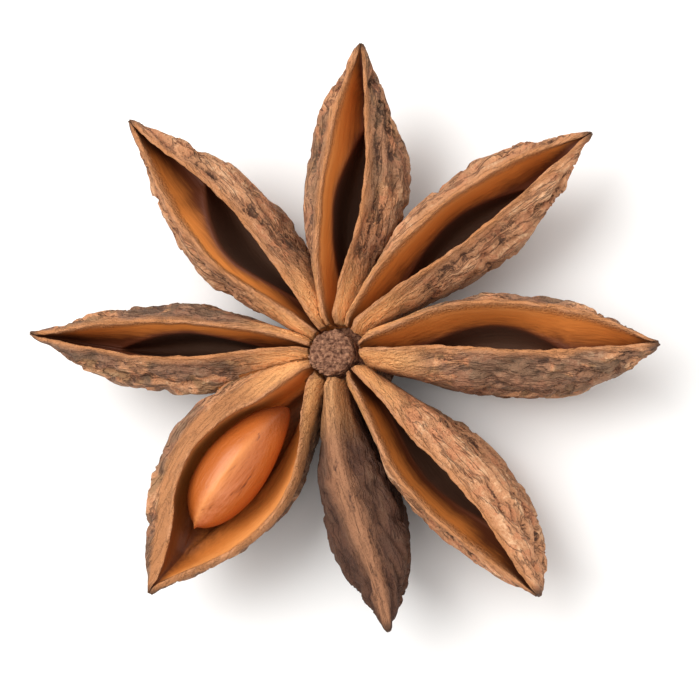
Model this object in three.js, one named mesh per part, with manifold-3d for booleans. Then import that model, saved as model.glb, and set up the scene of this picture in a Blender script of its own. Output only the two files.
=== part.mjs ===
// Star anise pod. Eight boat-shaped carpels stand in a star round a short central column.
// Seven have split along their seams, one is still shut, and one of the open ones holds its seed.
// Millimetres, +Z up. The pod lies on the keels of its carpels, with the seams facing up.

import * as THREE from 'three';
import { mergeVertices } from 'three/addons/utils/BufferGeometryUtils.js';
import Module from 'manifold-3d';

// ---- Driving dimensions -----------------------------------------------------------------

// Heights above the resting plane, on a carpel of common size.
const SEAM_AT_FOOT = 5.9; // top of the seam where a carpel meets the column
const SEAM_AT_BELLY = 6.8; // top of the seam over the fattest part
const KEEL_AT_FOOT = 1.5; // underside where a carpel meets the column
const KEEL_BELOW_FLOOR = 0.12; // the belly is cut off this deep, which leaves a flat spot

// Places along a carpel, as shares of its length from the pod's axis to the tip of the beak.
const BELLY_AT = 0.42; // deepest point of the keel
const GAPE_START = 0.055; // the seam is open from here
const GAPE_END = 0.975; // to here
const GAPE_SKEW = 1.08; // over 1 puts the widest gape beyond the middle
const TROUGH = 0.5; // beyond its pit a carpel is this share as deep inside
const TROUGH_FLOOR = 0.1; // and its floor this share as wide as the gape

// The rim of an open carpel.
const LIP = 0.35; // thickness of the woody rim
const SLIT = 0.07; // half width of a seam that hasn't opened
const SLIT_DEPTH = 0.25;
const WALL_AT_KEEL = 0.9; // least wood under the hollow
const SHOULDER = 0.3; // the widest level lies this share of the depth below the rim
const BEAK_TIP = 0.27; // half width of the blunt tip
const FOOT_HALF_WIDTH = 0.6; // the feet stand shoulder to shoulder round the column

// The column, and the groove that separates its top from the feet of the carpels.
const FOOT_RADIUS = 1.5;
const COLUMN_RADIUS = 1.26;
const COLUMN_TOP = 5.7;
const GROOVE_FLOOR = 4.3;
const CORE_RADIUS = 2.6; // solid core under the groove, which holds the feet together
const CORE_BOTTOM = 1.3;
const STALK_SCAR_RADIUS = 1.5;
const STALK_SCAR_DEPTH = 0.5;

// Mesh fineness.
const STATIONS = 20; // steps along a carpel
const OUTER_STEPS = 6; // steps from a lip down to the keel
const INNER_STEPS = 3; // steps down the lining, and as many down the pit under it
const COLUMN_SIDES = 16;

// Each carpel. Azimuths in degrees, anticlockwise from +X: foot at the column, beak at the tip;
// bow carries its middle to the left (+) or right (-), looking outwards, and skew the widest
// point outwards. gape is half the width of the open seam, spread how slowly it widens, and
// shift how far it lies to the left (+) or right (-). Inside, the lining slopes to a ledge, a
// share of the gape wide and ledgeDepth down, and drops from it into the pit for the seed,
// hollow deep and between the shares pitStart and pitEnd; lean puts the pit to one side. roll
// turns the seam to the left (+) or right (-). beakTop is the height of the tip, and a smaller
// taper keeps the carpel deep for longer before it narrows to the beak.
const COMMON = { hollow: 4.3, lean: -0.9 };
const CARPELS = [
  {
    foot: 8, beak: -1.7, bow: -0.18, length: 19.4, halfWidth: 2.64, gape: 1.31, shift: 0.37,
    spread: 0.91, roll: 8, taper: 0.72, skew: 1.01, beakTop: 7, pitStart: 0.2, pitEnd: 0.7,
    ledge: 0.8, ledgeDepth: 2.3,
  },
  {
    foot: 48, beak: 37.4, bow: 0.85, length: 18.9, halfWidth: 2.62, gape: 1.1, shift: 0.28,
    spread: 0.95, roll: -12.4, taper: 1.15, skew: 1.2, beakTop: 6.6, pitStart: 0.27,
    pitEnd: 0.74, ledge: 0.68, ledgeDepth: 2.1,
  },
  {
    foot: 93, beak: 84.4, bow: 0.27, length: 17, halfWidth: 2.75, gape: 1.08, shift: 0.38,
    spread: 0.92, roll: -14, taper: 0.95, skew: 1.24, beakTop: 7.4, pitStart: 0.2, pitEnd: 0.74,
    ledge: 0.72, ledgeDepth: 1.1,
  },
  {
    foot: 128.2, beak: 132.2, bow: 0.04, length: 17.8, halfWidth: 2.65, gape: 1.36, shift: 0.06,
    spread: 1.3, roll: 6.7, taper: 0.72, skew: 1.09, beakTop: 7.1, pitStart: 0.19, pitEnd: 0.72,
    ledge: 0.74, ledgeDepth: 0.7,
  },
  {
    foot: 169.8, beak: 175.7, bow: 0.11, length: 17.5, halfWidth: 2.42, gape: 0.93, shift: -0.32,
    spread: 1.15, roll: 8, taper: 0.47, skew: 1.16, beakTop: 7, pitStart: 0.23, pitEnd: 0.73,
    ledge: 0.71, ledgeDepth: 0.8, lean: 0.9,
  },
  {
    foot: 220.8, beak: 233.1, bow: -0.79, length: 16.85, halfWidth: 3.83, gape: 2.9, shift: 1.09,
    spread: 1.35, roll: 7.8, taper: 0.95, skew: 1.03, beakTop: 6.1, pitStart: 0.1, pitEnd: 0.82,
    ledge: 0.55, ledgeDepth: 3.4, hollow: 4.2, lean: -0.7,
  },
  {
    foot: 262, beak: 284.8, bow: 0.12, length: 16.6, halfWidth: 2.1, gape: 0, shift: 0.1,
    spread: 1.15, roll: -1.3, taper: 0.96, skew: 1.29, beakTop: 6.8, pitStart: 0.2, pitEnd: 0.7,
    ledge: 0.74, ledgeDepth: 0.25, hollow: 0,
  },
  {
    foot: 303.3, beak: 311.9, bow: 0.78, length: 19.1, halfWidth: 2.45, gape: 1.13, shift: 0.03,
    spread: 1.12, roll: -16.9, taper: 0.63, skew: 1.15, beakTop: 6.5, pitStart: 0.1, pitEnd: 0.8,
    ledge: 0.88, ledgeDepth: 2, lean: 0.9,
  },
].map((carpel) => ({ ...COMMON, ...carpel }));

// The seed lies in the hollow of this carpel: at is the place of its middle along the carpel,
// aside how far it lies to the left, slant how much further its outer end does, and sunk how
// deep its middle lies under the seam.
const SEED_CARPEL = 5;
const SEED = {
  length: 8.36, halfWidth: 1.88, halfHeight: 1.5, outwardSwell: 0.21,
  at: 0.493, aside: 0.27, slant: -0.134, sunk: 1.8,
};

// ---- Small helpers ----------------------------------------------------------------------

const radians = THREE.MathUtils.degToRad;
const smoothstep = THREE.MathUtils.smoothstep;
const mix = THREE.MathUtils.lerp;

// ---- One carpel -------------------------------------------------------------------------

function seamHeight(carpel, share) {
  const belly = mix(SEAM_AT_FOOT, SEAM_AT_BELLY, smoothstep(share, 0.1, 0.5));
  return belly + (carpel.beakTop - SEAM_AT_BELLY) * smoothstep(share, 0.5, 1) * share;
}

function carpelDepth(carpel, share) {
  const seam = seamHeight(carpel, share);
  if (share < BELLY_AT) {
    const rise = ((BELLY_AT - share) / BELLY_AT) ** 2;
    return seam - KEEL_AT_FOOT * rise + KEEL_BELOW_FLOOR;
  }
  const outwards = (share - BELLY_AT) / (1 - BELLY_AT);
  const belly = SEAM_AT_BELLY + KEEL_BELOW_FLOOR;
  return Math.max(belly * Math.cos((Math.PI / 2) * outwards) ** carpel.taper, 2 * BEAK_TIP);
}

// How deep the hollow is, and how wide and deep its ledge, where the seam is half this open.
function hollowRule(carpel, share, gape, opening, depth) {
  const { clamp } = THREE.MathUtils;
  const alongPit = clamp((share - carpel.pitStart) / (carpel.pitEnd - carpel.pitStart), 0, 1);
  const pit = Math.max(0, Math.sin(Math.PI * alongPit)) ** 0.8;
  const reach = Math.min(1, 3 * opening);
  const deepest = Math.max(depth - WALL_AT_KEEL, depth / 4);
  const slit = Math.min(SLIT_DEPTH, depth / 4);
  const trough = Math.min(Math.max(carpel.hollow * TROUGH * reach, slit), deepest);
  return {
    ledgeSide: gape * mix(TROUGH_FLOOR, carpel.ledge, pit),
    ledgeDown: mix(trough, Math.min(carpel.ledgeDepth * reach, deepest), pit),
    floorDown: mix(trough, Math.min(carpel.hollow * reach, deepest), Math.sqrt(pit)),
  };
}

// Points of one cross-section as [sideways, down from the seam], from the keel up the left
// side, over the left lip, through the hollow, over the right lip and back down to the keel.
function section(carpel, share) {
  const depth = carpelDepth(carpel, share);
  const leastHalfWidth = mix(FOOT_HALF_WIDTH, BEAK_TIP, smoothstep(share, 0.1, 0.35));
  const broad = carpel.halfWidth * Math.sin(Math.PI * share ** carpel.skew);
  const halfWidth = Math.hypot(broad, leastHalfWidth);
  const alongGape = THREE.MathUtils.clamp((share - GAPE_START) / (GAPE_END - GAPE_START), 0, 1);
  const opening = Math.sin(Math.PI * alongGape ** GAPE_SKEW);
  const gape = Math.max(carpel.gape * opening ** carpel.spread, Math.min(SLIT, halfWidth / 4));
  const lip = Math.min(gape + LIP, mix(gape, halfWidth, 0.7));
  const shift = carpel.shift * Math.min(1, 1.5 * opening);
  const { ledgeSide, ledgeDown, floorDown } = hollowRule(carpel, share, gape, opening, depth);
  const lean = carpel.lean * (gape - ledgeSide);
  const shoulder = SHOULDER * depth;

  // Half a section, each point with how far both it and its twin are carried to the left.
  const half = [];
  for (let step = OUTER_STEPS; step > 2; step--) {
    const angle = ((Math.PI / 2) * (step - 2)) / (OUTER_STEPS - 2);
    const side = halfWidth * Math.cos(angle) ** 1.25;
    half.push([side, shoulder + (depth - shoulder) * Math.sin(angle), 0]);
  }
  half.push([halfWidth, shoulder, 0]);
  half.push([mix(lip, halfWidth, Math.sin(Math.PI / 4)), shoulder / 2, shift / 2]);
  half.push([lip, 0.12 * (lip - gape), shift]);
  for (let step = 0; step <= INNER_STEPS; step++) {
    const angle = ((Math.PI / 2) * step) / INNER_STEPS;
    const side = mix(ledgeSide, gape, Math.cos(angle) ** 0.8);
    half.push([side, ledgeDown * Math.sin(angle), shift + lean * Math.sin(angle)]);
  }
  for (let step = 1; step <= INNER_STEPS; step++) {
    const angle = ((Math.PI / 2) * step) / INNER_STEPS;
    const side = ledgeSide * Math.max(0, Math.cos(angle)) ** 0.6;
    half.push([side, ledgeDown + (floorDown - ledgeDown) * Math.sin(angle), shift + lean]);
  }
  half[0][0] = 0;
  half[half.length - 1][0] = 0;
  const left = half.map(([side, down, carried]) => [carried + side, down]);
  const right = half.slice(1, -1).map(([side, down, carried]) => [carried - side, down]);
  return left.concat(right.reverse());
}

// Place on the carpel's middle line, in plan: it may bend between its foot and its beak.
function spine(carpel, share) {
  const azimuth = radians(mix(carpel.beak, carpel.foot, (1 - share) ** 2));
  const bow = carpel.bow * Math.sin(Math.PI * share);
  return new THREE.Vector2(share * carpel.length, bow).rotateAround(new THREE.Vector2(), azimuth);
}

// Turns a section point into a point of the pod.
function place(carpel, share, [side, down]) {
  const step = 0.01;
  const ahead = spine(carpel, share + step).sub(spine(carpel, share - step)).normalize();
  const middle = carpelDepth(carpel, share) / 2;
  const roll = radians(carpel.roll) * smoothstep(share, 0.05, 0.45);
  const across = side * Math.cos(roll) + (middle - down) * Math.tan(roll);
  const up = middle - down - side * Math.sin(roll);
  const point = spine(carpel, share);
  return new THREE.Vector3(
    point.x - ahead.y * across,
    point.y + ahead.x * across,
    Math.max(0, seamHeight(carpel, share) - middle + up),
  );
}

function carpelGeometry(carpel) {
  const firstShare = FOOT_RADIUS / carpel.length;
  const rings = [];
  for (let station = 0; station <= STATIONS; station++) {
    const share = mix(firstShare, 1, station / STATIONS);
    rings.push(section(carpel, share).map((point) => place(carpel, share, point)));
  }
  return skin(rings);
}

// Closed skin over a row of rings with equal numbers of points, capped at both ends.
function skin(rings) {
  const count = rings[0].length;
  const points = rings.flat();
  const triangles = [];
  for (let ring = 0; ring + 1 < rings.length; ring++) {
    for (let side = 0; side < count; side++) {
      const a = ring * count + side;
      const b = ring * count + ((side + 1) % count);
      triangles.push(a, b, b + count, a, b + count, a + count);
    }
  }
  for (const [ring, flip] of [[0, true], [rings.length - 1, false]]) {
    const middle = new THREE.Vector3();
    rings[ring].forEach((point) => middle.addScaledVector(point, 1 / count));
    const centre = points.push(middle) - 1;
    for (let side = 0; side < count; side++) {
      const a = ring * count + side;
      const b = ring * count + ((side + 1) % count);
      triangles.push(centre, flip ? b : a, flip ? a : b);
    }
  }
  const geometry = new THREE.BufferGeometry().setFromPoints(points);
  geometry.setIndex(triangles);
  return geometry;
}

// ---- Column -----------------------------------------------------------------------------

function columnGeometry() {
  const profile = [
    [0, CORE_BOTTOM + STALK_SCAR_DEPTH],
    [STALK_SCAR_RADIUS, CORE_BOTTOM + STALK_SCAR_DEPTH],
    [STALK_SCAR_RADIUS + 0.3, CORE_BOTTOM],
    [CORE_RADIUS - 0.4, CORE_BOTTOM],
    [CORE_RADIUS, CORE_BOTTOM + 0.7],
    [CORE_RADIUS - 0.4, GROOVE_FLOOR],
    [COLUMN_RADIUS, GROOVE_FLOOR],
    [COLUMN_RADIUS, COLUMN_TOP - 0.25],
    [COLUMN_RADIUS - 0.3, COLUMN_TOP],
    [0, COLUMN_TOP + 0.1],
  ].map(([radius, height]) => new THREE.Vector2(radius, height));
  return new THREE.LatheGeometry(profile, COLUMN_SIDES).rotateX(Math.PI / 2);
}

// ---- Seed -------------------------------------------------------------------------------

function seedGeometry() {
  const carpel = CARPELS[SEED_CARPEL];
  const rings = [];
  const stations = 14;
  const sides = 16;
  for (let station = 0; station <= stations; station++) {
    const along = -Math.cos((Math.PI * (station + 0.3)) / (stations + 0.6));
    const girth = (1 - along * along) ** 0.6 * (1 + SEED.outwardSwell * along);
    const share = SEED.at + (along * SEED.length) / 2 / carpel.length;
    const ring = [];
    for (let side = 0; side < sides; side++) {
      const angle = (2 * Math.PI * side) / sides;
      const flat = Math.sign(Math.cos(angle)) * Math.abs(Math.cos(angle)) ** 1.15;
      const across = SEED.halfWidth * girth * flat + SEED.aside + SEED.slant * along;
      const up = SEED.halfHeight * girth * Math.sin(angle) * (1 + 0.1 * Math.sin(angle));
      ring.push(place(carpel, share, [across, SEED.sunk - up]));
    }
    rings.push(ring);
  }
  return skin(rings);
}

// ---- Assembly ---------------------------------------------------------------------------

const wasm = await Module();
wasm.setup();

function toSolid(geometry) {
  geometry.deleteAttribute('normal');
  geometry.deleteAttribute('uv');
  const merged = mergeVertices(geometry, 1e-4);
  const mesh = new wasm.Mesh({
    numProp: 3,
    vertProperties: new Float32Array(merged.attributes.position.array),
    triVerts: new Uint32Array(merged.index.array),
  });
  return new wasm.Manifold(mesh);
}

function toGeometry(solid) {
  const mesh = solid.getMesh();
  const geometry = new THREE.BufferGeometry();
  geometry.setAttribute('position', new THREE.BufferAttribute(mesh.vertProperties, 3));
  geometry.setIndex(new THREE.BufferAttribute(mesh.triVerts, 1));
  geometry.computeVertexNormals();
  return geometry;
}

const shell = new THREE.MeshStandardMaterial({ color: 0x8a5a3c, roughness: 0.8, metalness: 0 });
const seedCoat = new THREE.MeshStandardMaterial({ color: 0x9c5527, roughness: 0.25, metalness: 0 });

let podSolid = toSolid(columnGeometry());
for (const carpel of CARPELS) {
  podSolid = podSolid.add(toSolid(carpelGeometry(carpel)));
}
const pod = new THREE.Mesh(toGeometry(podSolid), shell);
pod.name = 'pod';

const seed = new THREE.Mesh(toGeometry(toSolid(seedGeometry())), seedCoat);
seed.name = 'seed';

// The origin is the middle of the pod's box, on the resting plane.
const box = new THREE.Box3().setFromObject(pod);
const centre = box.getCenter(new THREE.Vector3());
const starAnise = new THREE.Group();
starAnise.add(pod, seed);
starAnise.position.set(-centre.x, -centre.y, -box.min.z);

export default starAnise;
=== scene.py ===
"""A dried star anise pod: eight woody carpels in a star round a short column, and one loose seed."""

import math

import bmesh
import bpy
from mathutils import Matrix, Vector, noise


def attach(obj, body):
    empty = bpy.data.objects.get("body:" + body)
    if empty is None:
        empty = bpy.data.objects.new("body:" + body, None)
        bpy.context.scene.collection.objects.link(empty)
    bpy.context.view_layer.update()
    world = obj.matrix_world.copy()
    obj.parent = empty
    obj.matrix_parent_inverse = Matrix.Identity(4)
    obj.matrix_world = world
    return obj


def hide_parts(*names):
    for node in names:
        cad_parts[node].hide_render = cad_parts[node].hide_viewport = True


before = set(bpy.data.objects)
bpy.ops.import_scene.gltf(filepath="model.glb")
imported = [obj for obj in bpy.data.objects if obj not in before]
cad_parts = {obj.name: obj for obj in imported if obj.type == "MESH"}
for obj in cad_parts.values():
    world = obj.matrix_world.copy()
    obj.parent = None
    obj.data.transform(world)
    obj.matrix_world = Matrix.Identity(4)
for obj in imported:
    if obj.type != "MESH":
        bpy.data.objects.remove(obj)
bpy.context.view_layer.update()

MM = 0.001

# --- The carpels -------------------------------------------------------------------------------
# Each carpel is a small woody boat, pointed at both ends. Its rind is one leathery sheet, folded
# along the keel, whose two edges meet in a seam on top. Drying splits the seam and bares a smooth
# lining, with a pit for the seed nearer the foot and a shallow trough out to the beak.

# Millimetres. The column's axis doesn't stand in the middle of the pod's box, and the keels reach a
# hair below the floor, where they are cut off flat.
AXIS = Vector((-0.957, -0.421, 0)) * MM
SEAM_AT_FOOT, SEAM_AT_BELLY = 5.9, 6.8
KEEL_AT_FOOT, KEEL_BELOW_FLOOR = 1.5, 0.12
LIP, SLIT, SLIT_DEPTH = 0.24, 0.06, 0.3
LIP_CROWN, LIP_WAVER = 0.08, 0.3
WALL_AT_KEEL = 0.9
BEAK_TIP, FOOT_HALF_WIDTH = 0.27, 0.6
FOOT_RADIUS = 1.5
FOOT_DROP = 0.5

# The dried rind's relief: how far across its bumps are, and how high, in millimetres.
LUMP_SIZE = 2.2
FLAKE_SIZE, FLAKE_HEIGHT = 1.0, 0.16
WRINKLE_SIZE, WRINKLE_DEPTH = 0.9, 0.3
KNOB_SIZE, KNOB_LEAST, KNOB_MOST = 0.55, 0.12, 0.4
CHIP_SIZE, CHIP_HEIGHT = 0.6, 0.36

# Shares of a carpel's length, from the axis of the pod to the tip of the beak.
BELLY_AT = 0.42
GAPE_START, GAPE_END = 0.055, 0.975
TIP_START, TIP_END = 0.975, 1.004

# Shares of a carpel's own sizes. The shut seam's slit is a share of an open one's.
TROUGH, TROUGH_FLOOR = 0.5, 0.1
SHOULDER = 0.3
LIP_FALL = 0.12
SHUT_SLIT = 0.05

# Exponents: over 1, a curve is drawn towards the beak, or is sharper than a circle's. Under 1, it
# is fuller.
GAPE_SKEW = 1.08
PIT_ENDS, PIT_BOTTOM, WALL_BULGE, KEEL_EDGE = 0.8, 0.6, 0.8, 1.25

# Shares of the way round half a section, from the bottom of the pit to the keel: the pit ends at
# a ledge, the lining at the inner edge of the lip, and the rind starts at its outer edge.
PIT_TO, LINING_TO, RIND_FROM, SHOULDER_AT = 0.16, 0.31, 0.37, 0.56
ROUND_STEPS, LENGTH_STEPS = 120, 92

# Foot, Beak and Roll are degrees: the ways the two ends point, and the tilt to one side. Bow, Length,
# Half width, Gape, Shift, Hollow, Ledge depth and Beak top are millimetres. The rest are shares and
# exponents. Rim is a smooth band outside the lip, and Number gives each carpel its own wrinkles.
# Some inputs set how far the lining is painted dark and the rind grey; part of that is painted shade.
CARPEL_INPUTS = {
    "Foot": 0.0, "Beak": 0.0, "Bow": 0.0, "Length": 18.0, "Half width": 2.6, "Skew": 1.15, "Gape": 1.2,
    "Spread": 1.0, "Shift": 0.0, "Hollow": 4.3, "Pit start": 0.2, "Pit end": 0.72, "Ledge": 0.74,
    "Ledge depth": 1.6, "Lean": -0.9, "Roll": 0.0, "Beak top": 7.0, "Taper": 0.9, "Stain and shade": 0.5,
    "Pit shade": 1.0, "Wall stain and shade": 0.0, "Greying and shade": 0.5, "Rim": 0.0, "Shut": 0.0, "Number": 0.0,
}
CARPELS = {
    "east": {
        "Foot": 8, "Beak": -1.7, "Bow": -0.18, "Length": 19.4, "Half width": 2.64, "Gape": 1.31,
        "Shift": 0.37, "Spread": 0.91, "Roll": 8, "Taper": 0.72, "Skew": 1.01, "Pit end": 0.7,
        "Ledge": 0.8, "Ledge depth": 2.3, "Stain and shade": 0.45, "Greying and shade": 0.8,
    },
    "north_east": {
        "Foot": 48, "Beak": 37.4, "Bow": 0.85, "Length": 18.9, "Half width": 2.62, "Gape": 1.1,
        "Shift": 0.28, "Spread": 0.95, "Roll": -12.4, "Taper": 1.15, "Skew": 1.2, "Beak top": 6.6,
        "Pit start": 0.27, "Pit end": 0.74, "Ledge": 0.68, "Ledge depth": 2.1, "Greying and shade": 0.2,
    },
    "north": {
        "Foot": 93, "Beak": 84.4, "Bow": 0.27, "Length": 17, "Half width": 2.75, "Gape": 1.08,
        "Shift": 0.38, "Spread": 0.92, "Roll": -14, "Taper": 0.95, "Skew": 1.24, "Beak top": 7.4,
        "Pit end": 0.74, "Ledge": 0.72, "Ledge depth": 1.1, "Stain and shade": 0.35, "Greying and shade": 0.55,
    },
    "north_west": {
        "Foot": 128.2, "Beak": 132.2, "Bow": 0.04, "Length": 17.8, "Half width": 2.65, "Gape": 1.36,
        "Shift": 0.06, "Spread": 1.3, "Roll": 6.7, "Taper": 0.72, "Skew": 1.09, "Beak top": 7.1,
        "Pit start": 0.19, "Ledge depth": 0.7, "Stain and shade": 0.65, "Greying and shade": 0.2,
    },
    "west": {
        "Foot": 169.8, "Beak": 175.7, "Bow": 0.11, "Length": 17.5, "Half width": 2.42, "Gape": 0.93,
        "Shift": -0.32, "Spread": 1.15, "Roll": 8, "Taper": 0.47, "Skew": 1.16, "Pit start": 0.23,
        "Pit end": 0.73, "Ledge": 0.71, "Ledge depth": 0.8, "Lean": 0.9, "Stain and shade": 0.6,
        "Greying and shade": 0.9,
    },
    "south_west": {
        "Foot": 220.8, "Beak": 233.1, "Bow": -0.79, "Length": 16.85, "Half width": 3.83, "Gape": 2.9,
        "Shift": 1.09, "Spread": 1.35, "Roll": 7.8, "Taper": 0.95, "Skew": 1.03, "Beak top": 6.1,
        "Pit start": 0.1, "Pit end": 0.82, "Ledge": 0.55, "Ledge depth": 3.4, "Hollow": 4.2,
        "Lean": -0.7, "Stain and shade": 0.1, "Pit shade": 0.2, "Wall stain and shade": 0.8, "Greying and shade": 0.8,
        "Rim": 0.08,
    },
    "south": {
        "Foot": 262, "Beak": 284.8, "Bow": 0.12, "Length": 16.6, "Half width": 2.1, "Gape": 0,
        "Shift": 0.1, "Spread": 1.15, "Roll": -1.3, "Taper": 0.96, "Skew": 1.29, "Beak top": 6.8,
        "Pit end": 0.7, "Ledge depth": 0, "Hollow": 0, "Shut": 1,
    },
    "south_east": {
        "Foot": 303.3, "Beak": 311.9, "Bow": 0.78, "Length": 19.1, "Half width": 2.45, "Gape": 1.13,
        "Shift": 0.03, "Spread": 1.12, "Roll": -16.9, "Taper": 0.63, "Beak top": 6.5, "Pit start": 0.1,
        "Pit end": 0.8, "Ledge": 0.88, "Ledge depth": 2, "Lean": 0.9, "Stain and shade": 0.9, "Greying and shade": 0,
    },
}

# Patterns on the rind and the lining are read in millimetres along, across and down a section.
# This much between one carpel and the next keeps them from being alike.
PATTERN_STEP = 40


class Quantity:
    """A value that changes over a surface. Arithmetic on it adds nodes to the tree being built."""

    tree = None

    def __init__(self, socket):
        self.socket = socket

    def __add__(self, other):
        return math_node("ADD", self, other)

    def __radd__(self, other):
        return math_node("ADD", other, self)

    def __sub__(self, other):
        return math_node("SUBTRACT", self, other)

    def __rsub__(self, other):
        return math_node("SUBTRACT", other, self)

    def __mul__(self, other):
        return math_node("MULTIPLY", self, other)

    def __rmul__(self, other):
        return math_node("MULTIPLY", other, self)

    def __truediv__(self, other):
        return math_node("DIVIDE", self, other)

    def __rtruediv__(self, other):
        return math_node("DIVIDE", other, self)

    def __pow__(self, other):
        return math_node("POWER", self, other)


def feed(socket, value):
    if isinstance(value, Quantity):
        Quantity.tree.links.new(value.socket, socket)
    elif isinstance(value, bpy.types.NodeSocket):
        Quantity.tree.links.new(value, socket)
    else:
        socket.default_value = value


def math_node(operation, *values):
    node = Quantity.tree.nodes.new("ShaderNodeMath")
    node.operation = operation
    for socket, value in zip(node.inputs, values):
        feed(socket, value)
    return Quantity(node.outputs[0])


def sine(value):
    return math_node("SINE", value)


def cosine(value):
    return math_node("COSINE", value)


def size_of(value):
    return math_node("ABSOLUTE", value)


def least(a, b):
    return math_node("MINIMUM", a, b)


def most(a, b):
    return math_node("MAXIMUM", a, b)


def mix(a, b, t):
    return (b - a) * t + a


def ramp(value, start, end):
    """Rises smoothly from 0 at start to 1 at end."""
    node = Quantity.tree.nodes.new("ShaderNodeMapRange")
    node.interpolation_type = "SMOOTHSTEP"
    feed(node.inputs["Value"], value)
    feed(node.inputs["From Min"], start)
    feed(node.inputs["From Max"], end)
    return Quantity(node.outputs["Result"])


def stretch(value, start, end):
    """Rises evenly from 0 at start to 1 at end."""
    result = ramp(value, start, end)
    result.socket.node.interpolation_type = "LINEAR"
    return result


def triple(x, y, z):
    node = Quantity.tree.nodes.new("ShaderNodeCombineXYZ")
    for socket, value in zip(node.inputs, (x, y, z)):
        feed(socket, value)
    return Quantity(node.outputs[0])


def parts(vector):
    node = Quantity.tree.nodes.new("ShaderNodeSeparateXYZ")
    feed(node.inputs[0], vector)
    return [Quantity(socket) for socket in node.outputs]


def scaled(vector, factor):
    node = Quantity.tree.nodes.new("ShaderNodeVectorMath")
    node.operation = "SCALE"
    feed(node.inputs["Vector"], vector)
    feed(node.inputs["Scale"], factor)
    return Quantity(node.outputs["Vector"])


def drawn_out(place, length):
    """Makes a pattern that many times longer along the carpel than across it."""
    node = Quantity.tree.nodes.new("ShaderNodeVectorMath")
    node.operation = "MULTIPLY"
    feed(node.inputs[0], place)
    node.inputs[1].default_value = (1 / length, 1, 1)
    return Quantity(node.outputs[0])


def clouds(place, size, detail=2.0, roughness=0.5, layer=0.0, distortion=0.0):
    """Smooth noise about 0.5, with bumps of that size. Each layer is another pattern."""
    node = Quantity.tree.nodes.new("ShaderNodeTexNoise")
    node.noise_dimensions = "4D"
    feed(node.inputs["Vector"], place)
    feed(node.inputs["W"], layer)
    feed(node.inputs["Scale"], 1 / size)
    feed(node.inputs["Detail"], detail)
    feed(node.inputs["Roughness"], roughness)
    feed(node.inputs["Distortion"], distortion)
    return Quantity(node.outputs[0])


def stored(geometry, name, value, kind="FLOAT"):
    node = Quantity.tree.nodes.new("GeometryNodeStoreNamedAttribute")
    node.data_type = kind
    node.domain = "POINT"
    feed(node.inputs["Geometry"], geometry)
    node.inputs["Name"].default_value = name
    feed(node.inputs["Value"], value)
    return node.outputs["Geometry"]


def recalled(name, kind="FLOAT"):
    node = Quantity.tree.nodes.new("GeometryNodeInputNamedAttribute")
    node.data_type = kind
    node.inputs["Name"].default_value = name
    return Quantity(node.outputs["Attribute"])


def moved(geometry, socket_name, value):
    """Sets the Position of every point, or moves it by an Offset."""
    node = Quantity.tree.nodes.new("GeometryNodeSetPosition")
    feed(node.inputs["Geometry"], geometry)
    feed(node.inputs[socket_name], value)
    return node.outputs["Geometry"]


def rind_relief(place, round_, share, rim):
    """Height of the dried rind in mm: lumps, flaking plates, long wrinkles and small knobs."""
    lumps = clouds(drawn_out(place, 2.2), LUMP_SIZE, 1) - 0.5
    plates = clouds(drawn_out(place, 3), FLAKE_SIZE, 3, 0.6, layer=3)
    flakes = ramp(plates, 0.43, 0.56) * FLAKE_HEIGHT
    winding = clouds(drawn_out(place, 4.5), WRINKLE_SIZE, 2, 0.55, layer=7, distortion=0.3)
    wrinkles = (1 - ramp(size_of(winding - 0.5), 0, 0.08)) * WRINKLE_DEPTH
    rough = ramp(clouds(place, 3, 1, layer=13), 0.45, 0.65)
    knobs = clouds(drawn_out(place, 2.2), KNOB_SIZE, 3, 0.65, layer=11) - 0.5
    knobs = knobs * mix(KNOB_LEAST, KNOB_MOST, rough)
    rind = ramp(round_ - rim, RIND_FROM - 0.01, RIND_FROM + 0.05)
    body = ramp(share, 0.22, 0.48) * (1 - ramp(share, 0.86, 0.98))
    return (lumps + flakes - wrinkles + knobs) * rind * mix(0.22, 1, body)


def lip_relief(place, round_):
    """Height of the crumbling edge of the rind in mm."""
    inner = ramp(round_, LINING_TO - 0.05, LINING_TO + 0.02)
    outer = 1 - ramp(round_, RIND_FROM, RIND_FROM + 0.1)
    chips = clouds(drawn_out(place, 1.5), CHIP_SIZE, 3, 0.65, layer=17) - 0.5
    return chips * CHIP_HEIGHT * (inner * outer)


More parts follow.
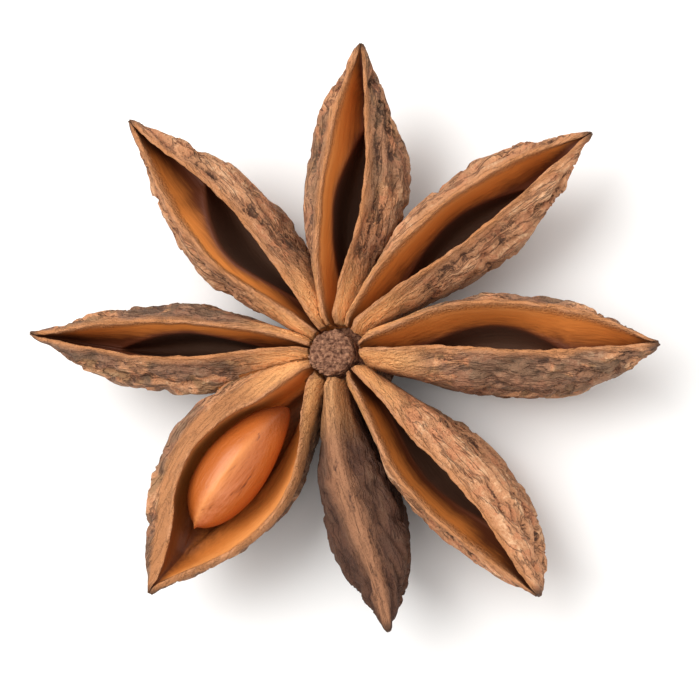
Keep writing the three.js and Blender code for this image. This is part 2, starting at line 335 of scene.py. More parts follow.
def carpel_tree(material):
    tree = bpy.data.node_groups.new("carpel", "GeometryNodeTree")
    tree.interface.new_socket("Geometry", in_out="INPUT", socket_type="NodeSocketGeometry")
    for name, value in CARPEL_INPUTS.items():
        socket = tree.interface.new_socket(name, in_out="INPUT", socket_type="NodeSocketFloat")
        socket.default_value = value
    tree.interface.new_socket("Geometry", in_out="OUTPUT", socket_type="NodeSocketGeometry")
    Quantity.tree = tree
    source = tree.nodes.new("NodeGroupInput")
    given = {name: Quantity(source.outputs[name]) for name in CARPEL_INPUTS}

    # A globe gives the closed skin. Its poles become the two ends of the carpel: latitude is
    # the place along it, longitude the way round its section.
    globe = tree.nodes.new("GeometryNodeMeshUVSphere")
    globe.inputs["Segments"].default_value = ROUND_STEPS
    globe.inputs["Rings"].default_value = LENGTH_STEPS
    position = tree.nodes.new("GeometryNodeInputPosition")
    x, y, z = parts(Quantity(position.outputs[0]))
    from_pole = math_node("ARCCOSINE", least(most(z, -1), 1)) / math.pi
    skin = stored(globe.outputs["Mesh"], "latitude", 1 - from_pole)
    skin = stored(skin, "longitude", math_node("ARCTAN2", y, x) / (2 * math.pi) + 0.5)
    latitude, longitude = recalled("latitude"), recalled("longitude")
    foot_share = FOOT_RADIUS / given["Length"]
    share = mix(foot_share, 1, stretch(latitude, 1 / LENGTH_STEPS, 1 - 1 / LENGTH_STEPS))
    off_pole = stretch(least(latitude, 1 - latitude), 0, 1 / LENGTH_STEPS)
    round_ = size_of(longitude * 2 - 1)
    hand = math_node("SIGN", 0.5 - longitude)
    place_along = share * given["Length"] + given["Number"] * PATTERN_STEP

    # Heights and widths along the carpel.
    seam = mix(SEAM_AT_FOOT, SEAM_AT_BELLY, ramp(share, 0.1, 0.5))
    seam = seam + (given["Beak top"] - SEAM_AT_BELLY) * ramp(share, 0.5, 1) * share
    seam = seam - (1 - ramp(share, foot_share, foot_share + 0.03)) * FOOT_DROP
    inwards = most(0, BELLY_AT - share) / BELLY_AT
    outwards = most(0, share - BELLY_AT) / (1 - BELLY_AT)
    full_depth = seam + KEEL_BELOW_FLOOR - inwards * inwards * KEEL_AT_FOOT
    full_depth = full_depth * most(cosine(outwards * (math.pi / 2)), 0.0001) ** given["Taper"]
    full_depth = most(full_depth, 2 * BEAK_TIP)
    tip = math_node("SQRT", most(1 - stretch(share, TIP_START, TIP_END) ** 2, 0))
    depth = full_depth * mix(0.55, 1, tip)
    broad = given["Half width"] * sine((share ** given["Skew"]) * math.pi)
    least_half_width = mix(FOOT_HALF_WIDTH, BEAK_TIP, ramp(share, 0.1, 0.35))
    half_width = math_node("SQRT", broad * broad + least_half_width * least_half_width) * tip

    # The open seam, and how deep the lining lies under it.
    opening = most(sine((stretch(share, GAPE_START, GAPE_END) ** GAPE_SKEW) * math.pi), 0.0001)
    waver = clouds(triple(place_along, hand * 3, 0), 1.8, 3, 0.55) - 0.5
    gape = given["Gape"] * (opening ** given["Spread"])
    gape = gape + waver * opening * LIP_WAVER * (1 - given["Shut"])
    closed = mix(1, SHUT_SLIT, most(given["Shut"], ramp(share, 0.96, 0.985)))
    gape = most(gape, least(SLIT * closed, half_width / 4))
    lip = least(gape + LIP, mix(gape, half_width, 0.7))
    pit = most(sine(stretch(share, given["Pit start"], given["Pit end"]) * math.pi), 0.0001)
    pit = pit ** PIT_ENDS
    reach = least(opening * 3, 1)
    floor_limit = most(depth - WALL_AT_KEEL, depth / 4)
    slit_depth = least(SLIT_DEPTH * closed, depth / 4)
    trough = least(most(given["Hollow"] * TROUGH * reach, slit_depth), floor_limit)
    ledge_down = mix(trough, least(given["Ledge depth"] * reach, floor_limit), pit)
    floor_down = mix(trough, least(given["Hollow"] * reach, floor_limit), pit ** 0.5)
    ledge_side = gape * mix(TROUGH_FLOOR, given["Ledge"], pit)

    # Half a section, as the distance to one side and the depth under the seam. The pit, up to
    # its ledge:
    in_pit = (1 - stretch(round_, 0, PIT_TO)) * (math.pi / 2)
    pit_side = ledge_side * most(cosine(in_pit), 0) ** PIT_BOTTOM
    pit_down = ledge_down + (floor_down - ledge_down) * sine(in_pit)
    # The lining, from the ledge up to the lip:
    on_wall = stretch(round_, PIT_TO, LINING_TO) * (math.pi / 2)
    wall_side = mix(ledge_side, gape, sine(on_wall) ** WALL_BULGE)
    wall_down = ledge_down * most(cosine(on_wall), 0)
    # The lip, which is as wide as the rind is thick, and crowned:
    over_lip = stretch(round_, LINING_TO, RIND_FROM)
    lip_side = mix(gape, lip, over_lip)
    lip_fall = (lip - gape) * LIP_FALL
    lip_down = (over_lip * lip_fall - sine(over_lip * math.pi) * LIP_CROWN) * (1 - given["Shut"])
    # The rind, out to the shoulder and round to the keel:
    shoulder = depth * SHOULDER
    to_shoulder = stretch(round_, RIND_FROM, SHOULDER_AT)
    to_keel = stretch(round_, SHOULDER_AT, 1) * (math.pi / 2)
    flank_side = mix(lip, half_width, sine(to_shoulder * (math.pi / 2)))
    flank_down = mix(lip_fall, shoulder, to_shoulder)
    below_side = half_width * most(cosine(to_keel), 0) ** KEEL_EDGE
    below_down = shoulder + (depth - shoulder) * sine(to_keel)

    side, down = pit_side, pit_down
    for start, next_side, next_down in (
        (PIT_TO, wall_side, wall_down),
        (LINING_TO, lip_side, lip_down),
        (RIND_FROM, flank_side, flank_down),
        (SHOULDER_AT, below_side, below_down),
    ):
        past = math_node("GREATER_THAN", round_, start)
        side = mix(side, next_side, past)
        down = mix(down, next_down, past)
    # The bottom lies to one side of the opening, which leaves one wall sloping and one steep, and
    # the opening may lie to one side of the carpel:
    off_middle = given["Lean"] * (gape - ledge_side) * cosine(on_wall)
    shift = given["Shift"] * least(opening * 1.5, 1)
    off_middle = off_middle + shift * (1 - ramp(round_, RIND_FROM, SHOULDER_AT))
    side = (side * hand + off_middle) * off_pole
    down = mix(depth * 0.4, down, off_pole)

    # The section is rolled about the middle of the carpel and set on its curved middle line.
    def spine(share):
        turn = (given["Beak"] + (given["Foot"] - given["Beak"]) * (1 - share) ** 2) * (math.pi / 180)
        bow = given["Bow"] * sine(share * math.pi)
        out = share * given["Length"]
        return out * cosine(turn) - bow * sine(turn), out * sine(turn) + bow * cosine(turn)

    here, ahead, behind = spine(share), spine(share + 0.01), spine(share - 0.01)
    step_x, step_y = ahead[0] - behind[0], ahead[1] - behind[1]
    step = math_node("SQRT", step_x * step_x + step_y * step_y)
    middle = full_depth / 2
    roll = given["Roll"] * (math.pi / 180) * ramp(share, 0.05, 0.45)
    across = side * cosine(roll) + (middle - down) * math_node("TANGENT", roll)
    up = middle - down - side * sine(roll)
    form = triple(
        (here[0] - step_y / step * across) * MM + AXIS.x,
        (here[1] + step_x / step * across) * MM + AXIS.y,
        most(seam - middle + up, 0) * MM,
    )
    skin = stored(skin, "share", share)
    skin = stored(skin, "round", round_)
    skin = stored(skin, "beside_pit", pit)
    # Amounts for the material: how dark the pit and lining are painted (painted shade, partly stain on the
    # lining) and how grey the rind is (partly painted shade).
    skin = stored(skin, "pit_shade", given["Pit shade"])
    skin = stored(skin, "greyed_and_shaded", given["Greying and shade"])
    skin = stored(skin, "rim", given["Rim"])
    one_wall = (1 - hand) / 2 * ramp(share, 0.5, 0.8)
    skin = stored(skin, "wall_stain_and_shade", given["Wall stain and shade"] * one_wall)
    skin = stored(skin, "narrow", 1 - ramp(gape, 0.1, 0.45))
    skin = stored(skin, "shut", given["Shut"])
    skin = stored(skin, "stain_and_shade", given["Stain and shade"])
    skin = stored(skin, "place", triple(place_along, side, down), "FLOAT_VECTOR")
    skin = moved(skin, "Position", form)

    # Relief, square to the form. Nothing dips under the resting plane.
    place, round_, share = recalled("place", "FLOAT_VECTOR"), recalled("round"), recalled("share")
    relief = rind_relief(place, round_, share, given["Rim"])
    normal = tree.nodes.new("GeometryNodeInputNormal")
    chips = lip_relief(place, round_) * (1 - given["Shut"])
    push = scaled(Quantity(normal.outputs[0]), (relief + chips) * MM)
    skin = stored(skin, "relief", relief)
    skin = moved(skin, "Offset", push)
    now = tree.nodes.new("GeometryNodeInputPosition")
    x, y, z = parts(Quantity(now.outputs[0]))
    skin = moved(skin, "Position", triple(x, y, most(z, 0)))

    realize = tree.nodes.new("GeometryNodeRealizeInstances")
    feed(realize.inputs[0], skin)
    smooth = tree.nodes.new("GeometryNodeSetShadeSmooth")
    feed(smooth.inputs[0], realize.outputs[0])
    finish = tree.nodes.new("GeometryNodeSetMaterial")
    feed(finish.inputs["Geometry"], smooth.outputs[0])
    finish.inputs["Material"].default_value = material
    sink = tree.nodes.new("NodeGroupOutput")
    feed(sink.inputs[0], finish.outputs[0])
    return tree


def grown(name, tree, values):
    """Evaluates the tree with these inputs, and returns a plain mesh object of that name."""
    host = bpy.data.objects.new(name, bpy.data.meshes.new(name))
    bpy.context.collection.objects.link(host)
    modifier = host.modifiers.new("growth", "NODES")
    modifier.node_group = tree
    sockets = {item.name: item.identifier for item in tree.interface.items_tree
               if item.item_type == "SOCKET" and item.in_out == "INPUT"}
    for key, value in values.items():
        modifier[sockets[key]] = float(value)
    depsgraph = bpy.context.evaluated_depsgraph_get()
    mesh = bpy.data.meshes.new_from_object(host.evaluated_get(depsgraph), depsgraph=depsgraph)
    host.modifiers.remove(modifier)
    host.data = mesh
    return host


def shade(red, green, blue):
    """A colour as a paint chart gives it, 0 to 255, turned into amounts of light."""
    def light(level):
        level /= 255
        return level / 12.92 if level <= 0.04045 else ((level + 0.055) / 1.055) ** 2.4
    return light(red), light(green), light(blue), 1.0


def read(name, output="Fac"):
    """An attribute of the mesh, inside a material."""
    node = Quantity.tree.nodes.new("ShaderNodeAttribute")
    node.attribute_name = name
    return Quantity(node.outputs[output])


def painted(under, over, cover):
    """One colour laid over another as far as cover says."""
    node = Quantity.tree.nodes.new("ShaderNodeMix")
    node.data_type = "RGBA"
    sockets = {socket.identifier: socket for socket in node.inputs}
    feed(sockets["Factor_Float"], cover)
    feed(sockets["A_Color"], under)
    feed(sockets["B_Color"], over)
    return Quantity({socket.identifier: socket for socket in node.outputs}["Result_Color"])


def effect(name, numbers, build):
    """A shader group that turns a place on the surface and some numbers into one amount."""
    group = bpy.data.node_groups.new(name, "ShaderNodeTree")
    group.interface.new_socket("Place", in_out="INPUT", socket_type="NodeSocketVector")
    for label, value in numbers.items():
        socket = group.interface.new_socket(label, in_out="INPUT", socket_type="NodeSocketFloat")
        socket.default_value = value
    group.interface.new_socket("Amount", in_out="OUTPUT", socket_type="NodeSocketFloat")
    Quantity.tree = group
    source = group.nodes.new("NodeGroupInput")
    sink = group.nodes.new("NodeGroupOutput")
    labels = ("Place", *numbers)
    feed(sink.inputs["Amount"], build(*[Quantity(source.outputs[label]) for label in labels]))
    return group


def applied(group, place, **numbers):
    node = Quantity.tree.nodes.new("ShaderNodeGroup")
    node.node_tree = group
    feed(node.inputs["Place"], place)
    for label, value in numbers.items():
        feed(node.inputs[label], value)
    return Quantity(node.outputs["Amount"])


def fibre_pattern(place, spacing):
    return clouds(drawn_out(place, 9), spacing, 3, 0.6, layer=21)


def fleck_pattern(place, size, cover):
    return ramp(clouds(place, size, 2, 0.6, layer=31), 0.72 - cover * 0.3, 0.78 - cover * 0.3)


fibres = effect("dried_fibres", {"Spacing": 0.2}, fibre_pattern)
flecks = effect("dried_flecks", {"Size": 0.4, "Cover": 0.3}, fleck_pattern)

# The lining's colours: lighter at the lip and darker deep down, partly painted light and painted shade.
LINING_AT_LIP_LIT = shade(240, 162, 90)
LINING = shade(206, 122, 54)
LINING_STAIN_AND_SHADE = shade(84, 40, 18)
# The pit's near-black is painted shade.
PIT_SHADE = shade(84, 56, 40)
LIP_EDGE = shade(192, 128, 80)
RIND = shade(204, 144, 102)
# Pale crests are partly a painted highlight.
RIND_CREST_HIGHLIGHT = shade(240, 190, 146)
RIND_CREASE = shade(88, 56, 40)
RIND_RUSSET = shade(202, 126, 86)
RIND_OLIVE = shade(126, 100, 68)
RIND_GREY = shade(104, 82, 70)
# The shut carpel's dark rind is partly painted shadow.
RIND_SHUT_SHADED = shade(70, 44, 34)
SEAM_SHUT = shade(162, 112, 80)
# The feet's pale tops are partly a painted highlight, their dark creases painted shade.
FOOT_PALE_AND_LIT = shade(246, 178, 114)
FOOT_CREASE_SHADE = shade(112, 58, 30)
BEAK = shade(84, 60, 46)
SCAR = shade(186, 134, 102)
SCAR_HOLLOW = shade(92, 54, 38)

# How far the lip's colour covers the rim, for each share that the rim is wide.
RIM_COVER = 7
POD_GRAIN = 0.16


def pod_finish():
    material = bpy.data.materials.new("dried_pod")
    material.use_nodes = True
    Quantity.tree = material.node_tree
    surface = material.node_tree.nodes["Principled BSDF"]
    place = read("place", "Vector")
    down = parts(place)[2]
    round_, share, relief = read("round"), read("share"), read("relief")
    beside_pit, greyed_and_shaded, rim = read("beside_pit"), read("greyed_and_shaded"), read("rim")
    narrow, shut, column = read("narrow"), read("shut"), read("column")

    # The lining: satin and golden, with fine fibres along it. It is painted lighter towards the lip and
    # darker brown down in the trough, partly its own stain and partly painted shade, and less so beside the
    # pit. Painted shade darkens a narrow seam, and one wall of the widest carpel, which is partly stained
    # too. The pit itself is painted nearly black: painted shade.
    fibre = applied(fibres, place, Spacing=0.16)
    up_wall = stretch(round_, PIT_TO, LINING_TO) + (fibre - 0.5) * 0.4
    # Lighter towards the lip, darker down in the trough: partly the lining's stain, partly painted light and
    # shade.
    stain_and_shade = read("stain_and_shade") * (1 + ramp(share, 0.8, 1.0) * 0.5) * (1 - ramp(beside_pit, 0.2, 0.7) * 0.35)
    lining = painted(LINING_STAIN_AND_SHADE, LINING, ramp(up_wall, stain_and_shade - 0.35, stain_and_shade + 0.3))
    lining = painted(lining, LINING_AT_LIP_LIT, ramp(up_wall, stain_and_shade + 0.25, stain_and_shade + 0.9))
    # Painted shade in a narrow seam, and on one wall of the widest carpel, where it is partly stain too.
    lining = painted(lining, LINING_STAIN_AND_SHADE, most(narrow * 0.75, read("wall_stain_and_shade")))
    # Below the ledge the pit is painted nearly black as painted shade; less so in the widest carpel, but for
    # its end by the column.
    under_ledge = 1 - ramp(round_ + (fibre - 0.5) * 0.02, PIT_TO - 0.03, PIT_TO + 0.02)
    pit = beside_pit * under_ledge * most(read("pit_shade"), 1 - ramp(share, 0.22, 0.4))
    lining = painted(lining, PIT_SHADE, pit)

    # The rind: mottled, pale on its crests and dark in its creases, partly as painted highlight and painted
    # shade, with russet, olive and grey patches, and painted shade low on its flanks. The shut carpel is
    # painted darker, partly as shadow, but for its seam. Towards the column all are paler on top, partly
    # as painted highlight, and dark low down, where they touch, as painted shade.
    coarse = clouds(drawn_out(place, 3.5), 0.4, 4, 0.7, layer=5)
    fine = clouds(place, 0.14, 3, 0.65, layer=9)
    # Crests painted paler and creases darker with the relief, partly painted highlight and shade, over
    # mottled noise.
    light_and_tone = stretch(relief, -0.4, 0.35) * 0.7 + (coarse - 0.5) * 2.2 + (fine - 0.5) * 1.3
    cracks = 1 - ramp(size_of(clouds(drawn_out(place, 7), 0.5, 3, 0.6, layer=41) - 0.5), 0.0, 0.035)
    rind = painted(RIND_CREASE, RIND, ramp(light_and_tone, -0.1, 0.34))
    rind = painted(rind, RIND_CREST_HIGHLIGHT, ramp(light_and_tone, 0.42, 1.0))
    rind = painted(rind, RIND_RUSSET, applied(flecks, place, Size=0.9, Cover=0.65) * 0.45)
    # Grey and olive patches, spread more on some carpels, partly as painted shade on their flanks.
    olive = applied(flecks, drawn_out(place, 2), Size=0.9, Cover=0.7) * greyed_and_shaded
    rind = painted(rind, RIND_OLIVE, olive * 0.7)
    grey = applied(flecks, drawn_out(place, 1.6), Size=1.6, Cover=0.95) * greyed_and_shaded
    rind = painted(rind, RIND_GREY, grey * 0.7)
    # Painted shade low on the flanks, and the dark cracks.
    rind = painted(rind, RIND_CREASE, most(ramp(down, 1.8, 4.5) * 0.3, cracks * 0.6))
    under_lip = 1 - ramp(round_ - rim + (coarse - 0.5) * 0.08, RIND_FROM, RIND_FROM + 0.04)
    rind = painted(rind, LIP_EDGE, under_lip * (1 - shut) * (0.3 + rim * RIM_COVER))
    seam = 1 - ramp(round_ + (coarse - 0.5) * 0.05, RIND_FROM - 0.01, RIND_FROM + 0.06)
    # The shut carpel is painted darker, partly as shadow from its neighbour, with a paler seam.
    shut_rind = painted(RIND_SHUT_SHADED, SEAM_SHUT, seam * ramp(light_and_tone, -0.3, 0.4))
    shut_rind = painted(shut_rind, RIND_CREASE, ramp(coarse, 0.5, 0.3) * 0.4)
    rind = painted(rind, shut_rind, shut * 0.9)
    # Near the column the tops are painted paler, partly as painted highlight, and low down darker, as painted
    # shade where the carpels touch.
    near_column = (1 - ramp(share, 0.15, 0.36)) * (1 - shut * 0.5)
    on_crests = mix(0.65, 0.95, ramp(light_and_tone, -0.1, 0.4))
    rind = painted(rind, FOOT_PALE_AND_LIT, near_column * (1 - ramp(down, 0.6, 2.2)) * on_crests)
    rind = painted(rind, FOOT_CREASE_SHADE, (1 - ramp(share, 0.1, 0.3)) * ramp(down, 0.7, 1.7) * 0.8)

    # The lip is the bare edge of the rind. The shut carpel shows none.
    on_rind = ramp(round_ + (fine - 0.5) * 0.05, RIND_FROM - 0.03, RIND_FROM + 0.03)
    on_rind = most(on_rind, shut)
    past_lining = ramp(round_ + (fine - 0.5) * 0.02, LINING_TO - 0.03, LINING_TO + 0.01)
    past_lining = most(past_lining, shut)
    lip = painted(LIP_EDGE, RIND, ramp(coarse, 0.4, 0.7))
    pod = painted(lining, painted(lip, rind, on_rind), past_lining)
    pod = painted(pod, BEAK, ramp(share, 0.955, 1.0) * 0.85)

    # The top of the column is a rough scar.
    scar = painted(SCAR_HOLLOW, SCAR, ramp(relief + (fine - 0.5) * 1.4, -0.35, 0.45))
    pod = painted(pod, scar, column)
    feed(surface.inputs["Base Color"], pod)

    matt = most(past_lining, column)
    feed(surface.inputs["Roughness"], mix(mix(0.55, 0.8, pit), 0.75 + (fine - 0.5) * 0.3, matt))
    surface.inputs["Specular IOR Level"].default_value = 0.25
    bump = material.node_tree.nodes.new("ShaderNodeBump")
    bump.inputs["Distance"].default_value = POD_GRAIN * MM
    feed(bump.inputs["Height"], mix(fibre * 0.25, coarse * 1.8 + fine * 1.2 - cracks * 0.5, matt))
    feed(surface.inputs["Normal"], bump.outputs["Normal"])
    return material


dried_pod = pod_finish()
carpel = carpel_tree(dried_pod)
carpels = [
    grown(f"carpel_{name}", carpel, {**values, "Number": number})
    for number, (name, values) in enumerate(CARPELS.items())
]

# --- The column --------------------------------------------------------------------------------
# The carpels stand round a short woody column. Its top is a rough scar in a ring-shaped groove,
# and underneath is the hollow scar of the stalk. It is fused with the carpels into one pod.

COLUMN_RADIUS, COLUMN_TOP = 1.26, 5.7
GROOVE_FLOOR = 4.3
CORE_RADIUS, CORE_BOTTOM = 2.6, 1.3
STALK_SCAR_RADIUS, STALK_SCAR_DEPTH = 1.5, 0.5
COLUMN_OFF_AXIS = Vector((-0.13, -0.12, 0)) * MM
COLUMN_SIDES, COLUMN_STEP = 80, 0.1
SCAR_RELIEF, SCAR_GRAIN = 0.32, 0.22

# Shares of the crags' height that the scar rises, and that the sides swell beside it.
SCAR_RISE, SIDE_RISE = 0.5, 0.6


def column_mesh(material):
    corners = [
        (0, CORE_BOTTOM + STALK_SCAR_DEPTH),
        (STALK_SCAR_RADIUS, CORE_BOTTOM + STALK_SCAR_DEPTH),
        (STALK_SCAR_RADIUS + 0.3, CORE_BOTTOM),
        (CORE_RADIUS - 0.4, CORE_BOTTOM),
        (CORE_RADIUS, CORE_BOTTOM + 0.7),
        (CORE_RADIUS - 0.4, GROOVE_FLOOR),
        (COLUMN_RADIUS, GROOVE_FLOOR),
        (COLUMN_RADIUS, COLUMN_TOP - 0.25),
        (COLUMN_RADIUS - 0.25, COLUMN_TOP),
        (0, COLUMN_TOP + 0.1),
    ]
    profile = [Vector(corners[0])]
    for start, end in zip(corners, corners[1:]):
        start, end = Vector(start), Vector(end)
        steps = max(1, round((end - start).length / COLUMN_STEP))
        profile += [start.lerp(end, step / steps) for step in range(1, steps + 1)]

    mesh = bpy.data.meshes.new("column")
    skin = bmesh.new()
    relief = skin.verts.layers.float.new("relief")
    column = skin.verts.layers.float.new("column")
    round_ = skin.verts.layers.float.new("round")
    place = skin.verts.layers.float_vector.new("place")
    rings = []
    for radius, height in profile:
        count = COLUMN_SIDES if radius > 0 else 1
        ring = []
        for side in range(count):
            angle = math.tau * side / count
            point = Vector((radius * math.cos(angle), radius * math.sin(angle), height))
            crags = noise.fractal(point / SCAR_GRAIN, 0.8, 2.0, 3) * SCAR_RELIEF
            outward = Vector((math.cos(angle), math.sin(angle), 0)) * min(1, radius)
            top = min(1, max(0, (height - GROOVE_FLOOR) / 0.8))
            lifted = point + (outward * SIDE_RISE + Vector((0, 0, 1)) * top) * crags * SCAR_RISE
            vertex = skin.verts.new(lifted * MM + AXIS + COLUMN_OFF_AXIS)
            vertex[relief] = crags
            vertex[column] = 1.0
            vertex[round_] = 1.0
            vertex[place] = point
            ring.append(vertex)
        rings.append(ring)
    for below, above in zip(rings, rings[1:]):
        for side in range(COLUMN_SIDES):
            after = side + 1
            corners = [below[side % len(below)], below[after % len(below)],
                       above[after % len(above)], above[side % len(above)]]
            skin.faces.new(dict.fromkeys(corners)).smooth = True
    skin.to_mesh(mesh)
    skin.free()
    mesh.materials.append(material)
    return mesh


def fused(name, first, others):
    """Joins closed pieces into one skin, a plain mesh object of that name."""
    gathered = bpy.data.collections.new("gathered")
    for other in others:
        gathered.objects.link(other)
    union = first.modifiers.new("union", "BOOLEAN")
    union.operation = "UNION"
    union.operand_type = "COLLECTION"
    union.collection = gathered
    union.solver = "MANIFOLD"
    depsgraph = bpy.context.evaluated_depsgraph_get()
    mesh = bpy.data.meshes.new_from_object(first.evaluated_get(depsgraph), depsgraph=depsgraph)
    for piece in (first, *others):
        bpy.data.objects.remove(piece)
    bpy.data.collections.remove(gathered)
    whole = bpy.data.objects.new(name, mesh)
    bpy.context.collection.objects.link(whole)
    return whole


column = bpy.data.objects.new("column", column_mesh(dried_pod))
bpy.context.collection.objects.link(column)
pod = fused("star_anise_pod", column, carpels)
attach(pod, "root")
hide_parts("pod")

# --- The seed ----------------------------------------------------------------------------------
# One flat oval seed still lies in the widest carpel. Its coat is hard and polished, with a paler ridge
# along the top that carries a painted highlight, and a painted sheen beside it. Painted shade darkens
# it low on its sides and at the end where it hung.

SEED_LEVELS = 3

# Millimetres, and angles round the seed in radians.
SEED_RIDGE, SEED_WAVES, SEED_GRAIN, WELD = 0.2, 0.05, 0.07, 0.001
SEED_RIDGE_WIDTH, SEED_RIDGE_TURN = 0.4, 0.12

SEED_COAT = shade(180, 94, 36)
# The pale colour is a painted sheen; the crest's is partly a painted highlight.
SEED_SHEEN = shade(216, 134, 90)
SEED_CREST_HIGHLIGHT = shade(228, 144, 78)
# The dark colour is the coat's streaks and flecks, and also painted shade.
SEED_DARK = shade(98, 44, 22)


def seed_finish():
    material = bpy.data.materials.new("seed_coat")
    material.use_nodes = True
    Quantity.tree = material.node_tree
    surface = material.node_tree.nodes["Principled BSDF"]
    place = read("place", "Vector")
    along = parts(place)[0] / read("half_length")
    ridge, off_ridge = read("ridge"), read("off_ridge")
    streaks = applied(fibres, place, Spacing=0.22)
    coat = painted(SEED_DARK, SEED_COAT, ramp(streaks, 0.2, 0.4))
    # A painted sheen on one side of the ridge, towards the outer end.
    light_and_tone = (1 - ramp(size_of(off_ridge - 0.6), 0.3, 1.8)) * ramp(along, -0.4, 0.5)
    coat = painted(coat, SEED_SHEEN, light_and_tone * ramp(streaks, 0.2, 0.7) * 0.8)
    # Painted shade low on both sides.
    coat = painted(coat, SEED_DARK, ramp(size_of(off_ridge - 0.5), 1.4, 4.2) * 0.5)
    # The paler ridge, with a painted highlight along it.
    coat = painted(coat, SEED_CREST_HIGHLIGHT, ridge ** 3 * ramp(streaks, 0.1, 0.5) * 0.75)
    # Painted shade at the end where it hung.
    coat = painted(coat, SEED_DARK, (1 - ramp(along, -1.0, -0.45)) * 0.85)
    coat = painted(coat, SEED_DARK, applied(flecks, place, Size=0.6, Cover=0.3) * 0.06)
    feed(surface.inputs["Base Color"], coat)
    feed(surface.inputs["Roughness"], mix(0.3, 0.5, streaks))
    surface.inputs["Specular IOR Level"].default_value = 0.35
    surface.inputs["Coat Weight"].default_value = 0.15
    surface.inputs["Coat Roughness"].default_value = 0.2
    bump = material.node_tree.nodes.new("ShaderNodeBump")
    bump.inputs["Distance"].default_value = SEED_GRAIN * MM
    feed(bump.inputs["Height"], streaks + clouds(drawn_out(place, 2), 0.6, 2) * 0.8)
    feed(surface.inputs["Normal"], bump.outputs["Normal"])
    return material


def seed_mesh(solid, material):
    """A smooth seed on the form of the plain solid, with its ridge."""
    skin = bmesh.new()
    skin.from_mesh(solid)
    bmesh.ops.remove_doubles(skin, verts=skin.verts, dist=WELD * MM)
    bmesh.ops.join_triangles(skin, faces=skin.faces, angle_face_threshold=math.pi,
                             angle_shape_threshold=math.pi)
    plain = bpy.data.meshes.new("seed_plain")
    skin.to_mesh(plain)
    skin.free()
    host = bpy.data.objects.new("seed_plain", plain)
    bpy.context.collection.objects.link(host)
    smoothing = host.modifiers.new("smoothing", "SUBSURF")
    smoothing.levels = smoothing.render_levels = SEED_LEVELS
    depsgraph = bpy.context.evaluated_depsgraph_get()
    mesh = bpy.data.meshes.new_from_object(host.evaluated_get(depsgraph), depsgraph=depsgraph)
    bpy.data.objects.remove(host)

    points = [vertex.co.copy() for vertex in mesh.vertices]
    normals = [vertex.normal.copy() for vertex in mesh.vertices]
    far_end = max(points, key=lambda point: (point.xy - AXIS.xy).length)
    near_end = max(points, key=lambda point: (point - far_end).length)
    middle = (far_end + near_end) / 2
    axis = (far_end - near_end).normalized()
    sideways = Vector((0, 0, 1)).cross(axis).normalized()
    upwards = axis.cross(sideways)
    half_length = (far_end - near_end).length / 2
    mesh.attributes.new("place", "FLOAT_VECTOR", "POINT")
    for name in ("ridge", "off_ridge", "half_length"):
        mesh.attributes.new(name, "FLOAT", "POINT")
    attributes = mesh.attributes
    for vertex, point, normal in zip(mesh.vertices, points, normals):
        from_middle = point - middle
        along, side, up = (from_middle.dot(way) / MM for way in (axis, sideways, upwards))
        off_ridge = (math.atan2(side, up) - SEED_RIDGE_TURN) / SEED_RIDGE_WIDTH
        towards_end = along * MM / half_length
        ridge = math.exp(-abs(off_ridge) ** 1.4) * (1 - max(0, -towards_end) ** 2)
        waves = noise.noise(Vector((along * 0.4, side, up))) * SEED_WAVES
        vertex.co = point + normal * (ridge * SEED_RIDGE + waves) * MM
        attributes["place"].data[vertex.index].vector = (along, side, up)
        attributes["ridge"].data[vertex.index].value = ridge
        attributes["off_ridge"].data[vertex.index].value = off_ridge
        attributes["half_length"].data[vertex.index].value = half_length / MM
    mesh.materials.clear()
    mesh.materials.append(material)
    for face in mesh.polygons:
        face.use_smooth = True
        face.material_index = 0
    return mesh


polished_seed = bpy.data.objects.new("polished_seed", seed_mesh(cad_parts["seed"].data, seed_finish()))
bpy.context.collection.objects.link(polished_seed)
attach(polished_seed, "root")
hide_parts("seed")

# --- Floor, light and camera -------------------------------------------------------------------
# The pod lies on a plain pale floor under soft light from the left, seen from high up.

FLOOR_SIZE = 2
FLOOR_COLOUR = shade(243, 242, 240)
SKY_STRENGTH = 0.76
LAMP_DISTANCE = 0.25

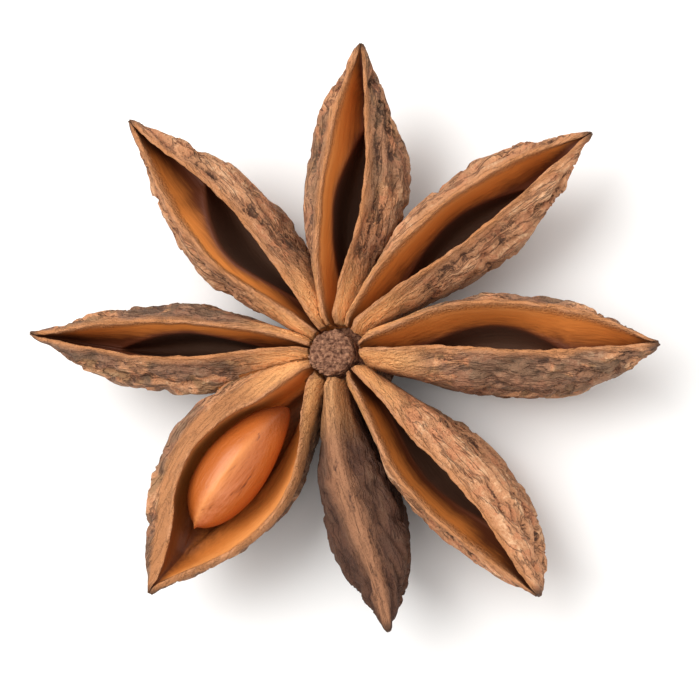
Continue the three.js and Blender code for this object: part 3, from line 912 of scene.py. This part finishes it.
bpy.ops.mesh.primitive_plane_add(size=FLOOR_SIZE)
floor = bpy.context.object
floor.name = "floor"
paper = bpy.data.materials.new("paper")
paper.use_nodes = True
paper.node_tree.nodes["Principled BSDF"].inputs["Base Color"].default_value = FLOOR_COLOUR
paper.node_tree.nodes["Principled BSDF"].inputs["Roughness"].default_value = 0.9
floor.data.materials.append(paper)

# The camera leans to the east and to the south of the column's axis, and isn't turned about it.
LEAN_EAST, LEAN_SOUTH = math.radians(20), math.radians(12)
SENSOR, LENS = 36, 500
VIEW_WIDTH = 38.67 * MM
VIEW_CENTRE = Vector((1.05, -0.055)) * MM
EYE_LEVEL = 5.8 * MM

towards_camera = Vector((math.tan(LEAN_EAST), -math.tan(LEAN_SOUTH), 1)).normalized()
turn = Vector((0, 0, 1)).rotation_difference(towards_camera).to_matrix()
right, up = turn @ Vector((1, 0, 0)), turn @ Vector((0, 1, 0))
target = AXIS + Vector((0, 0, EYE_LEVEL)) + right * VIEW_CENTRE.x + up * VIEW_CENTRE.y
lens = bpy.data.cameras.new("camera")
lens.sensor_width = SENSOR
lens.lens = LENS
lens.clip_start = 1 * MM
camera = bpy.data.objects.new("camera", lens)
bpy.context.collection.objects.link(camera)
camera.matrix_world = Matrix.Translation(target + towards_camera * VIEW_WIDTH * LENS / SENSOR) @ turn.to_4x4()
bpy.context.scene.camera = camera

sky = bpy.data.worlds.new("sky")
sky.use_nodes = True
sky.node_tree.nodes["Background"].inputs["Color"].default_value = (1, 1, 1, 1)
sky.node_tree.nodes["Background"].inputs["Strength"].default_value = SKY_STRENGTH
bpy.context.scene.world = sky
bpy.context.scene.view_settings.view_transform = "Standard"


def lamp(name, way, size, power):
    """A square soft light, of that many watts, in a direction given as seen by the camera."""
    light = bpy.data.lights.new(name, "AREA")
    light.size = size
    light.energy = power
    holder = bpy.data.objects.new(name, light)
    bpy.context.collection.objects.link(holder)
    direction = (right * way[0] + up * way[1] + towards_camera * way[2]).normalized()
    holder.location = target + direction * LAMP_DISTANCE
    holder.rotation_mode = "QUATERNION"
    holder.rotation_quaternion = direction.to_track_quat("Z", "Y")


lamp("key", way=(-0.65, 0.35, 0.7), size=0.24, power=0.65)
lamp("fill", way=(0.6, 0.2, 0.8), size=0.3, power=0.18)
